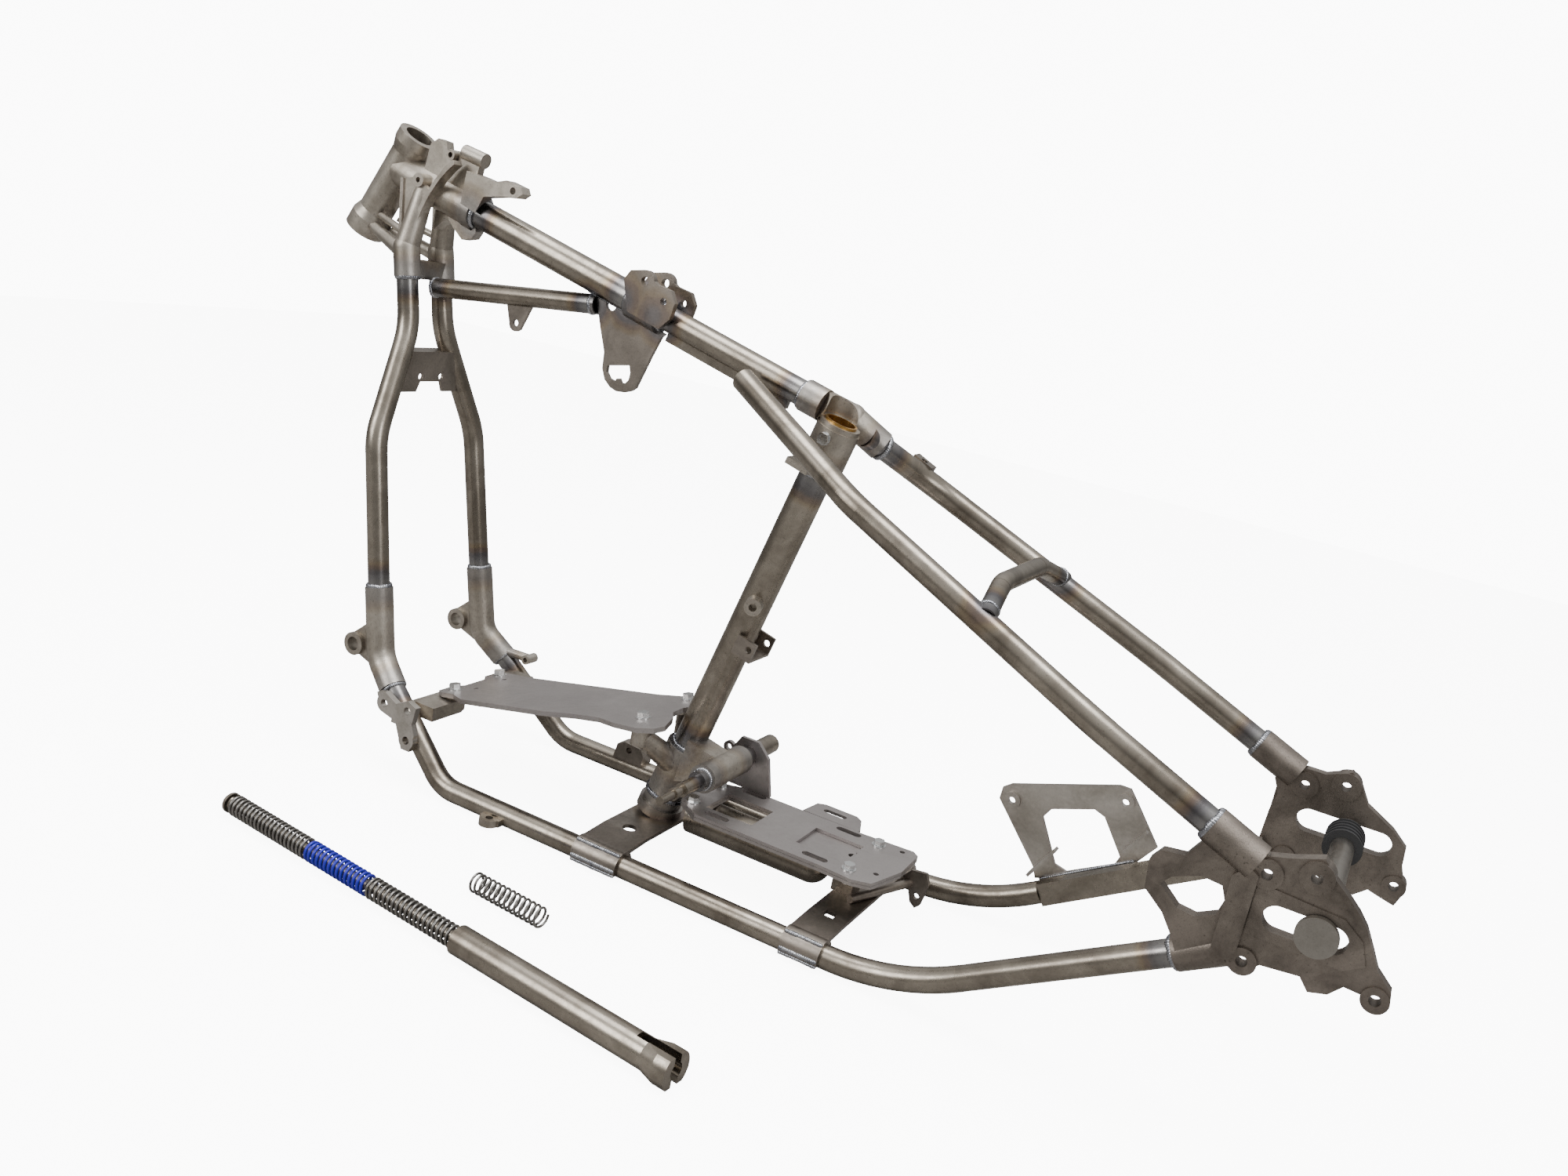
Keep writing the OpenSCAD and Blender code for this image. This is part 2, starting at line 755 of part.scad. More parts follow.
module trans_cuts(slots) {
  for (s = [-1, 1]) {
    if (slots > 0) for (x = [-671, -532]) {
      translate([x, s * 49.5]) square([24, 10.4], center = true);
      for (e = [-12, 12]) translate([x + e, s * 49.5]) circle(d = 10.4);
    }
    translate([-714, s * 36]) circle(d = 9);
    translate([-488, s * 45.4]) circle(d = 9);
  }
  translate([-458, 52]) circle(d = 7);
  translate([-458, -31]) circle(d = 7);
  translate([-503, 0]) circle(d = 10.4);
}

module transmission_plate_lower() {
  color("#4a4a4d") place() difference() {
    translate([0, 0, 75.6]) linear_extrude(trans_plate_t)
      difference() {
        trans_outline();
        trans_cuts(1);
        translate([-694, -36]) square([66, 58]);
      }
    seat_casting_body();
    at_post() cylinder(d = post_d, h = 460);
  }
}

module transmission_plate_upper() {
  color("#55545a") place() difference() {
    translate([0, 0, 80]) linear_extrude(trans_plate_t)
      difference() {
        trans_outline();
        trans_cuts(1);
        translate([-694, -36]) square([66, 58]);
        translate([-567, -32]) square([67, 58]);
      }
    seat_casting_body();
    at_post() cylinder(d = post_d, h = 460);
  }
}

module slotted_tab() {
  color("#4a4a4d") place() difference() {
    translate([0, 0, 80]) linear_extrude(4)
      difference() {
        polygon([[-604, 60.2], [-600, 96], [-590, 102], [-544, 102], [-534, 94], [-522, 64], [-524, 60.2]]);
        translate([-580, 84]) circle(d = 9);
        translate([-556, 84]) circle(d = 9);
        translate([-580, 79.5]) square([24, 9]);
      }
  }
}

module transmission_bolts() {
  color("#c9c7c2") place() {
    for (s = [-1, 1])
      for (p = [[-714, 36], [-488, 45.4]])
        translate([p[0], s * p[1], 84]) {
          cylinder(d = 18, h = 1.4);
          translate([0, 0, 1.4]) hex_bolt(8.9, 12.7, 5.6, 20);
          translate([0, 0, -15]) cylinder(d = 12.7 / cos(30), h = 6.4, $fn = 6);
        }
  }
}

// ---- upper rails ----

module upper_rail_left() {
  color("#8d8378") place() difference() {
    bent_tube(up_left, [110, 400], rail_d, rail_d - 2 * rail_wall);
    backbone_outer(300, 700, backbone_rear_d);
    head_body();
  }
}

module upper_rail_right() {
  color("#8d8378") place() difference() {
    bent_tube(up_right, [110, 400], rail_d, rail_d - 2 * rail_wall);
    head_body();
  }
}

module upper_rail_tab() {
  color("#a49b8e") place() difference() {
    translate([-572, 118, 533]) rotate([0, 24, 0]) difference() {
      translate([-14, -18, 12]) cube([28, 22, 14]);
      translate([0, -8, 0]) cylinder(d = 9, h = 60);
      translate([-20, -30, 16]) cube([60, 16, 20]);
    }
    bent_tube(up_right, [110, 400], rail_d);
  }
}

module cross_brace() {
  path = [[-368, -146, 455], [-380, -70, 478], [-380, 70, 478], [-368, 146, 455]];
  color("#8d8378") place() difference() {
    bent_tube(path, [70, 70], 22.2, 18);
    for (p = [up_left, up_right]) bent_tube(p, [110, 400], rail_d);
  }
}

// ---- toolbox bracket ----

module toolbox_bracket() {
  color("#8a8f95") place() difference() {
    union() {
      side_plate(157, 4)
        difference() {
          polygon([[-381, 156], [-380, 172], [-370, 180], [-240, 226], [-226, 226], [-216, 214], [-178, 166],
            [-200, 134], [-296, 76], [-312, 70], [-318, 84]]);
          polygon([[-321, 152], [-313, 166], [-262, 185], [-248, 180], [-218, 138], [-222, 126], [-276, 94],
            [-292, 98]]);
        }
      side_hole(-364, 155, 160, 22, 8);
      side_hole(-228, 155, 208, 22, 8);
      // folded ribs down to the rail
      translate([-318, 141, 74]) rotate([0, -60, 0]) cube([52, 16, 4]);
      translate([-212, 145, 148]) rotate([0, -60, 0]) cube([40, 12, 4]);
    }
    side_hole(-364, 157, 160, 9, 30);
    side_hole(-228, 157, 208, 9, 30);
    rail_outer(1);
    at_bar() translate([0, -10, -14.3]) cube([250, 20, 28.6]);
  }
}

// ---- axle plates ----

module plate_outline(s) {
  if (s < 0) {
    difference() {
      polygon([[-116, 292], [-104, 312], [-60, 322], [-44, 320], [-23, 326], [3, 336], [16, 320], [32, 307],
        [44, 296], [54, 284], [64, 266], [73, 249], [89, 234], [90, 222], [80, 212], [66, 222], [50, 223], [39, 210],
        [22, 205], [12, 217], [-24, 213], [-40, 196], [-58, 202], [-72, 203], [-98, 190], [-108, 208],
        [-122, 228], [-144, 246],
        [-147, 276], [-138, 289]]);
      polygon([[-131, 256], [-122, 267], [-97, 278], [-76, 276], [-70, 262], [-74, 246], [-92, 236], [-110, 238]]);
    }
  } else {
    polygon([[-74, 300], [-62, 318], [-44, 322], [-23, 322], [3, 334], [16, 322], [28, 302], [60, 284],
      [78, 268], [80, 245], [90, 218], [84, 200], [68, 204], [54, 208], [41, 196], [20, 200],
      [-24, 206], [-60, 200], [-72, 216], [-70, 262], [-66, 282]]);
  }
}

module axle_socket_top(s, bore) {
  difference() {
    rod([-100, s * 158.6, 330.7], [-52, s * 158.8, 309.6], 38);
    if (bore > 0) bent_tube(s > 0 ? up_right : up_left, [110, 400], rail_d);
  }
}

module axle_socket_low(s, bore) {
  difference() {
    rod([-100, s * 144.4, 186], [-58, s * 146.1, 212], 38);
    if (bore > 0) bent_tube(s > 0 ? rail_path : mirrored(rail_path), [60, 300], rail_d);
  }
}

// the slot's shape, rounded at both ends
module slot_shape(s) {
  len = s < 0 ? slot_len : slot_len_right;
  translate([s < 0 ? 4 : 12, axle_z]) {
    square([len - slot_h, slot_h], center = true);
    for (e = [-1, 1]) translate([e * (len - slot_h) / 2, 0]) circle(d = slot_h);
  }
}

function plate_bosses() = [[-41, 303, 30, 20], [1, 316, 32, 20], [78, 222, 26, 18], [-40, 211, 28, 20]];

module axle_plate(s) {
  difference() {
    union() {
      side_plate(s * plate_y, 14) difference() {
        plate_outline(s);
        slot_shape(s);
      }
      // raised machined pad around the slot
      side_plate(s * (plate_y + 7.4), 3.2) difference() {
        polygon([[-46, 240], [-46, 288], [-36, 292], [34, 287], [54, 272], [62, 250], [44, 238]]);
        slot_shape(s);
      }
      // thick step that carries both sockets down the plate's front
      side_plate(s * (plate_y + 8), 12) polygon([[-70, 214], [-70, 292], [-58, 306], [-47, 300], [-47, 222], [-54, 208]]);
      axle_socket_top(s, 0);
      axle_socket_low(s, 0);
      for (b = plate_bosses()) side_hole(b[0], s * plate_y, b[1], b[2], b[3]);
    }
    for (b = plate_bosses()) side_hole(b[0], s * plate_y, b[1], 11, 60);
    bent_tube(s > 0 ? up_right : up_left, [110, 400], rail_d);
    if (s < 0) bent_tube(mirrored(rail_path), [60, 300], rail_d);
    if (s > 0) difference() {
      at_bar() translate([0, -10, -14.3]) cube([250, 20, 28.6]);
      bar_end_cut();
    }
  }
}

module axle_plate_left() { color("#7c7d80") place() axle_plate(-1); }

module axle_plate_right() { color("#7c7d80") place() axle_plate(1); }

// ---- rear axle ----

module rear_axle() {
  color("#9a9da1") {
    translate([0, 165.6, 0]) rotate([90, 0, 0]) cylinder(d = axle_d, h = 334, $fn = 72);
    translate([0, -165.6, 0]) rotate([90, 0, 0]) cylinder(d = 40, h = 7);
    translate([0, 163, 0]) rotate([-90, 0, 0]) cylinder(d = 17, h = 15);
  }
}

module axle_collar() {
  color("#26272a") difference() {
    union() {
      translate([0, 138, 0]) rotate([90, 0, 0]) cylinder(d = 39, h = 44);
      for (y = [97, 107, 117, 127, 137]) translate([0, y, 0]) rotate([90, 0, 0]) cylinder(d = 42, h = 3);
    }
    translate([0, 160, 0]) rotate([90, 0, 0]) cylinder(d = axle_d + 0.1, h = 120, $fn = 72);
  }
}

// ---- loose plunger ----

// moves to the cap end of the plunger lying on the floor, X along it
module at_plunger() { translate([-1156, -364.5, 16.5]) rotate([0, 0, -5.78]) children(); }

module plunger_tube() {
  color("#8d8378") place() at_plunger() difference() {
    union() {
      translate([389, 0, 0]) rotate([0, 90, 0]) cylinder(d = plunger_d, h = 262);
      intersection() {
        union() {
          translate([650, 0, 0]) rotate([0, 90, 0]) cylinder(d1 = plunger_d, d2 = 42, h = 18);
          translate([668, 0, 0]) rotate([0, 90, 0]) cylinder(d = 42, h = 16);
        }
        translate([640, -30, -16.5]) cube([60, 60, 33]);
      }
    }
    translate([380, 0, 0]) rotate([0, 90, 0]) cylinder(d = 28, h = 254);
    translate([636, -5, -30]) cube([60, 10, 60]);
    translate([620, 0, 0]) rotate([0, 90, 0]) cylinder(d = 18, h = 100);
  }
}

module plunger_rod() {
  color("#77736c") place() at_plunger() {
    translate([-6, 0, 0]) rotate([0, 90, 0]) cylinder(d1 = 18, d2 = 25, h = 4);
    translate([-2, 0, 0]) rotate([0, 90, 0]) cylinder(d = 25, h = 4);
    translate([1.8, 0, 0]) rotate([0, 90, 0]) cylinder(d1 = 17, d2 = 12, h = 5);
    translate([4.8, 0, 0]) rotate([0, 90, 0]) cylinder(d = 12, h = 400);
    translate([396, 0, 0]) rotate([0, 90, 0]) cylinder(d = 27.86, h = 12);
  }
}

// a close coil as a stack of rings joined along one line
module coil(x0, n, pitch, wire, gap_line) {
  for (i = [0 : n - 1]) translate([x0 + i * pitch, 0, 0]) rotate([0, 90, 0])
    rotate_extrude($fn = 40) translate([spring_d / 2 - wire / 2, 0]) circle(d = wire, $fn = 10);
  if (gap_line) translate([x0, 0, spring_d / 2 - wire / 2]) rotate([0, 90, 0])
    cylinder(d = wire * 0.8, h = (n - 1) * pitch, $fn = 10);
}

module plunger_spring_long() {
  color("#77736c") place() at_plunger() coil(9.5, 20, 7, 4, true);
}

module plunger_spring_blue() {
  color("#2e6ea8") place() at_plunger() coil(149, 15, 7, 4, true);
}

module plunger_spring_short() {
  color("#77736c") place() at_plunger() coil(254, 19, 7.5, 4, true);
}

module loose_spring() {
  color("#5d5a58") place() translate([-840, -291.4, 13]) rotate([0, 0, -4.5]) coil(0, 14, 7.8, 4, true);
}

// ---- what is drawn ----

neck_casting();
neck_gusset();
neck_arms();
neck_lugs();
backbone_front();
backbone_rear();
backbone_strip();
top_engine_bracket();
engine_hanger();
brace_tube();
brace_tab();
downtube_left();
downtube_right();
downtube_bracket();
front_forging_left();
front_forging_right();
engine_pads();
side_stand_plate();
engine_plate();
engine_plate_bolts();
lower_rail_left();
lower_rail_right();
rail_bar_right();
rail_lug_left();
rail_clamp_right();
front_crossmember();
rear_crossmember();
centre_tube();
rear_post();
rear_bar();
seat_post_casting();
seat_post_tube();
seat_post_boss();
seat_post_bracket();
seat_post_head();
seat_post_bush();
head_clamp_bolt();
cross_shaft();
hoop_plate();
transmission_plate_lower();
transmission_plate_upper();
slotted_tab();
transmission_bolts();
upper_rail_left();
upper_rail_right();
upper_rail_tab();
cross_brace();
toolbox_bracket();
axle_plate_left();
axle_plate_right();
rear_axle();
axle_collar();
plunger_tube();
plunger_rod();
plunger_spring_long();
plunger_spring_blue();
plunger_spring_short();
loose_spring();
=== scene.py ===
# %% [markdown]
# # A bare steel motorcycle frame
# The CAD model already has every tube, casting and plate in its place.
# This lesson gives each of them the finish that the real metal has, and adds
# what CAD leaves out: the weld beads, and springs that are true coils.

import json
import math

import bpy
import numpy as np
from mathutils import Matrix, Vector


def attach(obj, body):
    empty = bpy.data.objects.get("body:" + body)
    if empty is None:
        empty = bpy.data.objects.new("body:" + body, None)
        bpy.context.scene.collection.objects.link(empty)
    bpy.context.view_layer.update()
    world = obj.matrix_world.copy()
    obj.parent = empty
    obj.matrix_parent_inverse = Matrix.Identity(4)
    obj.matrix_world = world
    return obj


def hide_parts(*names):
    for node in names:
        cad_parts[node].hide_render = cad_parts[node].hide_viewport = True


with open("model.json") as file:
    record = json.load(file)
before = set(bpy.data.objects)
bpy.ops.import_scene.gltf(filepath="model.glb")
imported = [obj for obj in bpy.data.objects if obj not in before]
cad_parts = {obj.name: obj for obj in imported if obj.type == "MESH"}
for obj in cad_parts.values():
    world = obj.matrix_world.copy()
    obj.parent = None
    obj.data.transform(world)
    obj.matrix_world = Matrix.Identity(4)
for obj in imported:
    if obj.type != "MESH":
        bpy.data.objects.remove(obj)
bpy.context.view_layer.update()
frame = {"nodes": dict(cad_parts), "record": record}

# %% [markdown]
# The part's origin is the rear axle. The drawing of the frame was set out from
# the floor under the steering head, so one offset turns a drawing size in
# millimetres into a place in the scene.

# %% From drawing sizes to the scene
AXLE_ON_DRAWING = np.array([15.5, 0.0, 263.3])


def at(x, y, z):
    """Drawing millimetres to scene metres."""
    return (np.array([x, y, z], dtype=float) - AXLE_ON_DRAWING) / 1000.0


FLOOR = at(0, 0, 0)[2]
print("floor height", round(FLOOR, 4))

# %% [markdown]
# The camera stands at the frame's left, abreast of the rear axle and as high
# as the neck. It looks forwards and a little down, and is tipped about its
# own line of sight. The turn is built from those three angles.

# %% Camera
AZIMUTH = math.radians(24.914)
ELEVATION = math.radians(14.459)
TILT = math.radians(11.18)
CAMERA_PLACE = at(0.0, -1430.0, 784.9)
LENS_MM, SENSOR_MM = 30.6, 36.0


def camera_turn(azimuth, elevation, tilt):
    """Columns are right, up and back: back from the two angles, then a turn about it."""
    level = math.cos(elevation)
    back = Vector((math.sin(azimuth) * level, -math.cos(azimuth) * level, math.sin(elevation)))
    right = Vector((math.cos(azimuth), math.sin(azimuth), 0.0))
    right = Matrix.Rotation(tilt, 3, back) @ right
    up = back.cross(right)
    return Matrix((right, up, back)).transposed()


camera_data = bpy.data.cameras.new("camera")
camera = bpy.data.objects.new("camera", camera_data)
bpy.context.collection.objects.link(camera)
turned = camera_turn(AZIMUTH, ELEVATION, TILT).to_4x4()
camera.matrix_world = Matrix.Translation(CAMERA_PLACE) @ turned
camera_data.sensor_width = SENSOR_MM
camera_data.lens = LENS_MM
camera_data.clip_start, camera_data.clip_end = 0.05, 50.0
bpy.context.scene.camera = camera
print("camera at", [round(v, 3) for v in camera.location])

# %% [markdown]
# The picture wants bare metal on plain white, but steel shows what surrounds
# it, and in an all-white room every tube would look pale and flat. So the
# floor and the room are white to the camera only. To everything else the
# floor is a mid grey and the room darkens downwards, which gives each tube a
# pale streak above and a dark side below.

# %% Floor that is white to the camera
FLOOR_SIZE, FLOOR_CELLS = 9.0, 24
FLOOR_SEEN = (0.93, 0.93, 0.93, 1.0)
FLOOR_MIRRORED = (0.27, 0.262, 0.252, 1.0)
FLOOR_GLOW = 9.0


def studio_floor(size, cells):
    """A flat square grid at floor height: x and y run evenly, z stays put."""
    steps = np.linspace(-size / 2, size / 2, cells + 1)
    x, y = np.meshgrid(steps, steps, indexing="ij")
    points = np.stack([x - 0.6, y, np.full_like(x, FLOOR - 0.0004)], axis=-1).reshape(-1, 3)
    i, j = np.meshgrid(np.arange(cells), np.arange(cells), indexing="ij")
    a = (i * (cells + 1) + j).ravel()
    faces = np.stack([a, a + cells + 1, a + cells + 2, a + 1], axis=1)
    mesh = bpy.data.meshes.new("floor")
    mesh.from_pydata(points.tolist(), [], faces.tolist())
    return mesh


def floor_paper():
    """Matt paper that glows to the camera and is a mid grey to every other ray."""
    made = bpy.data.materials.new("floor_paper")
    made.use_nodes = True
    tree = made.node_tree
    shader = tree.nodes["Principled BSDF"]
    shader.inputs["Roughness"].default_value = 0.9
    shader.inputs["Emission Color"].default_value = (1.0, 1.0, 1.0, 1.0)
    to_camera = tree.nodes.new("ShaderNodeLightPath").outputs["Is Camera Ray"]
    shade = tree.nodes.new("ShaderNodeMix")
    shade.data_type = "RGBA"
    shade.inputs[6].default_value = FLOOR_MIRRORED
    shade.inputs[7].default_value = FLOOR_SEEN
    tree.links.new(to_camera, shade.inputs[0])
    tree.links.new(shade.outputs[2], shader.inputs["Base Color"])
    glow = tree.nodes.new("ShaderNodeMath")
    glow.operation = "MULTIPLY"
    glow.inputs[1].default_value = FLOOR_GLOW
    tree.links.new(to_camera, glow.inputs[0])
    tree.links.new(glow.outputs[0], shader.inputs["Emission Strength"])
    return made


floor = bpy.data.objects.new("floor", studio_floor(FLOOR_SIZE, FLOOR_CELLS))
bpy.context.collection.objects.link(floor)
floor.data.materials.append(floor_paper())
print("floor of", FLOOR_SIZE, "metres")

# %% Room that is white to the camera
ROOM_SEEN = (13.5, 13.5, 13.5, 1.0)
ROOM_LOW = (0.24, 0.232, 0.222, 1.0)
ROOM_HIGH = (1.1, 1.1, 1.09, 1.0)
ROOM_HIGH_AT = 0.72
ROOM_STRENGTH = 0.8

world = bpy.data.worlds.new("studio")
bpy.context.scene.world = world
world.use_nodes = True
tree = world.node_tree
room = tree.nodes["Background"]
upward = tree.nodes.new("ShaderNodeSeparateXYZ")
tree.links.new(tree.nodes.new("ShaderNodeTexCoord").outputs["Generated"], upward.inputs[0])
fade = tree.nodes.new("ShaderNodeValToRGB")
low, high = fade.color_ramp.elements
low.position, low.color = 0.0, ROOM_LOW
high.position, high.color = ROOM_HIGH_AT, ROOM_HIGH
tree.links.new(upward.outputs["Z"], fade.inputs["Fac"])
either = tree.nodes.new("ShaderNodeMix")
either.data_type = "RGBA"
either.inputs[7].default_value = ROOM_SEEN
tree.links.new(tree.nodes.new("ShaderNodeLightPath").outputs["Is Camera Ray"], either.inputs[0])
tree.links.new(fade.outputs["Color"], either.inputs[6])
tree.links.new(either.outputs[2], room.inputs["Color"])
room.inputs["Strength"].default_value = ROOM_STRENGTH
print("room fades between heights 0 and", ROOM_HIGH_AT)

# %% [markdown]
# Three large soft lamps do the lighting: a wide one overhead for the streaks
# along the tubes, a warm one at the front left, and a weak one from behind
# that draws the edges of the axle plates.

# %% Lamps
def soft_lamp(name, place, aim, size, power, colour=(1.0, 1.0, 1.0)):
    data = bpy.data.lights.new(name, "AREA")
    data.shape, data.size, data.size_y = "RECTANGLE", size[0], size[1]
    data.energy, data.color = power, colour
    lamp = bpy.data.objects.new(name, data)
    bpy.context.collection.objects.link(lamp)
    lamp.location = place
    lamp.rotation_euler = (Vector(aim) - Vector(place)).to_track_quat("-Z", "Y").to_euler()
    return lamp


soft_lamp("lamp_over", (-0.7, -0.2, 2.4), (-0.7, 0.0, 0.0), (2.6, 1.2), 80)
soft_lamp("lamp_left", (-2.4, -2.4, 1.6), (-0.8, 0.0, 0.2), (1.2, 1.6), 45, (1.0, 0.99, 0.97))
soft_lamp("lamp_rear", (1.9, -1.2, 1.3), (-0.4, 0.0, 0.1), (0.9, 1.4), 22)
print("three lamps")

# %% [markdown]
# Bare tube is never one colour. Rolling leaves fine marks along it, oil and
# handling leave cloudy brown patches, and heat leaves a brown and then a
# bluish band beside each weld. The patches and the heat bands are each a node
# group, made once, so that every finish below can take them at its own strength.

# %% Small helpers for node groups
def new_group(name, inputs, outputs):
    group = bpy.data.node_groups.new(name, "ShaderNodeTree")
    for label, kind, value in inputs:
        sock = group.interface.new_socket(label, in_out="INPUT", socket_type=kind)
        if value is not None:
            sock.default_value = value
    for label, kind in outputs:
        group.interface.new_socket(label, in_out="OUTPUT", socket_type=kind)
    start, end = group.nodes.new("NodeGroupInput"), group.nodes.new("NodeGroupOutput")
    return group, start, end


def link(tree, a, b):
    tree.links.new(a, b)


def math_node(tree, kind, a, b=None, c=None, clamp=False):
    node = tree.nodes.new("ShaderNodeMath")
    node.operation, node.use_clamp = kind, clamp
    for socket, value in zip(node.inputs, (a, b, c)):
        if value is None:
            continue
        if isinstance(value, (int, float)):
            socket.default_value = value
        else:
            tree.links.new(value, socket)
    return node.outputs[0]


def noise(tree, vector, scale, detail=3.0, roughness=0.55, distortion=0.0):
    node = tree.nodes.new("ShaderNodeTexNoise")
    node.inputs["Detail"].default_value = detail
    node.inputs["Roughness"].default_value = roughness
    node.inputs["Distortion"].default_value = distortion
    if isinstance(scale, (int, float)):
        node.inputs["Scale"].default_value = scale
    else:
        tree.links.new(scale, node.inputs["Scale"])
    tree.links.new(vector, node.inputs["Vector"])
    return node.outputs["Fac"]


def ramp(tree, factor, stops):
    node = tree.nodes.new("ShaderNodeValToRGB")
    node.color_ramp.interpolation = "EASE"
    while len(node.color_ramp.elements) < len(stops):
        node.color_ramp.elements.new(0.5)
    for element, (place, colour) in zip(node.color_ramp.elements, stops):
        element.position = place
        element.color = (*colour, 1.0)
    tree.links.new(factor, node.inputs["Fac"])
    return node.outputs["Color"]


def mix_colour(tree, factor, a, b):
    node = tree.nodes.new("ShaderNodeMix")
    node.data_type = "RGBA"
    for socket, value in ((node.inputs[0], factor), (node.inputs[6], a), (node.inputs[7], b)):
        if isinstance(value, tuple):
            socket.default_value = (*value, 1.0)
        else:
            tree.links.new(value, socket)
    return node.outputs[2]


print("helpers ready")

# %% [markdown]
# The clouds group stands for handling and oil: broad patches, finer mottling
# inside them, and a sprinkle of small dark specks of mill scale. It puts out
# masks only, so each finish decides what colour they turn into.

# %% Clouds and specks
clouds_group, start, end = new_group(
    "clouds_and_specks",
    [
        ("Vector", "NodeSocketVector", None),
        ("Cloud size", "NodeSocketFloat", 9.0),
        ("Speck size", "NodeSocketFloat", 420.0),
    ],
    [("Clouds", "NodeSocketFloat"), ("Mottle", "NodeSocketFloat"), ("Specks", "NodeSocketFloat")],
)
place = start.outputs["Vector"]
broad = noise(clouds_group, place, start.outputs["Cloud size"], 4.0, 0.6, 0.6)
link(clouds_group, broad, end.inputs["Clouds"])
finer = math_node(clouds_group, "MULTIPLY", start.outputs["Cloud size"], 9.0)
link(clouds_group, noise(clouds_group, place, finer, 3.0, 0.6), end.inputs["Mottle"])
grainy = noise(clouds_group, place, start.outputs["Speck size"], 2.0, 0.5)
peaks = math_node(clouds_group, "MULTIPLY_ADD", grainy, 9.0, -5.6, clamp=True)
link(clouds_group, math_node(clouds_group, "SMOOTH_MIN", peaks, 1.0, 0.1), end.inputs["Specks"])
print("clouds group has", len(clouds_group.nodes), "nodes")

# %% [markdown]
# Most welds on the frame are rings round a tube, so one list holds them:
# where the ring is, which way the tube runs, the tube's radius and the bead's
# thickness. The beads are modelled from it, and the heat colours are measured
# from it too, so a bead and its tint can never drift apart.

# %% The welds, in drawing millimetres
SLOPE = math.radians(13.8)
LEAN = math.radians(15.05)
BACKBONE_FRONT = np.array([-1262.0, 0.0, 754.3])
POST_FOOT = np.array([-774.6, 0.0, 64.6])
BACKBONE_WAY = np.array([math.cos(SLOPE), 0.0, -math.sin(SLOPE)])
BACKBONE_UP = np.array([math.sin(SLOPE), 0.0, math.cos(SLOPE)])
POST_WAY = np.array([math.sin(LEAN), 0.0, math.cos(LEAN)])


def on_backbone(x, z=0.0):
    """Along the backbone by x from its front end, and z out from its axis."""
    return BACKBONE_FRONT + x * BACKBONE_WAY + z * BACKBONE_UP


def on_post(z):
    """Up the seat post by z from its foot."""
    return POST_FOOT + z * POST_WAY


welds = [
    ("sleeve", on_backbone(61.5), BACKBONE_WAY, 21.5, 3.6),
    ("bracket_front", on_backbone(327), BACKBONE_WAY, 20.5, 2.8),
    ("bracket_rear", on_backbone(377), BACKBONE_WAY, 18.4, 3.4),
    ("head_front", on_backbone(593), BACKBONE_WAY, 17.5, 3.2),
    ("brace_front", [-1262, 0, 632.1], [0.995, 0, 0.104], 12.9, 2.4),
    ("brace_rear", [-1004, 0, 659.0], [0.995, 0, 0.104], 12.7, 2.2),
    ("post_foot", on_post(77.0), POST_WAY, 22.5, 3.8),
    ("post_head", on_post(477), POST_WAY, 20.65, 2.8),
    ("post_collar", on_post(0), POST_WAY, 26.5, 3.4),
    ("shaft_right", [-694, 35, 130], [0, 1, 0], 13.6, 2.6),
    ("shaft_left", [-694, -62.5, 130], [0, 1, 0], 13.6, 2.6),
    ("rail_socket_right", [-598.2, 55.3, 568.0], [0.55, 0.68, -0.40], 15.8, 3.4),
]
for side, name in ((-1, "left"), (1, "right")):
    welds += [
        ("downtube_top_" + name, [-1283.1, 33.4 * side, 640.2], [0.203, 0, -0.979], 15.5, 3.2),
        ("downtube_foot_" + name, [-1207.0, 102.6 * side, 237.4], [0.198, 0.026 * side, -0.98], 15.6, 3.2),
        ("forging_" + name, [-1149.2, 115.7 * side, 110.6], [0.755, 0.11 * side, -0.646], 15.6, 3.2),
        ("upper_socket_" + name, [-100.6, 158.6 * side, 331.0], [0.915, 0, -0.402], 16.4, 4.0),
        ("brace_end_" + name, [-370.5, 131.0 * side, 460.0], [0.1, 0.93 * side, -0.34], 11.1, 2.2),
    ]
welds.append(("lower_socket_left", [-100.5, -144.3, 185.7], [0.85, -0.036, 0.527], 16.4, 4.0))
print(len(welds), "ring welds")

# %% [markdown]
# Heat tint is an oxide film that gets thicker towards the weld. Far away the
# steel keeps its own colour; nearer it turns brown, then a dark blue grey,
# and beside the bead it is pale again. So the group only has to give one
# number, how close the nearest weld is, and a ramp gives the colours.

# %% Closeness to the nearest weld
heat_group, start, end = new_group(
    "closeness_to_weld",
    [
        ("Vector", "NodeSocketVector", None),
        ("Reach", "NodeSocketFloat", 0.03),
        ("Wander", "NodeSocketFloat", 0.35),
    ],
    [("Closeness", "NodeSocketFloat")],
)
nearest = None
for name, centre, way, radius, bead in welds:
    gap = heat_group.nodes.new("ShaderNodeVectorMath")
    gap.operation = "DISTANCE"
    link(heat_group, start.outputs["Vector"], gap.inputs[0])
    gap.inputs[1].default_value = at(*centre)
    beyond = math_node(heat_group, "SUBTRACT", gap.outputs["Value"], radius / 1000.0)
    nearest = beyond if nearest is None else math_node(heat_group, "MINIMUM", nearest, beyond)
patchy = noise(heat_group, start.outputs["Vector"], 70.0, 3.0, 0.6)
patchy = math_node(heat_group, "MULTIPLY_ADD", patchy, start.outputs["Wander"], 0.8)
reach = math_node(heat_group, "MULTIPLY", start.outputs["Reach"], patchy)
share = math_node(heat_group, "DIVIDE", nearest, reach)
link(heat_group, math_node(heat_group, "SUBTRACT", 1.0, share, clamp=True), end.inputs["Closeness"])
print("heat group has", len(heat_group.nodes), "nodes")

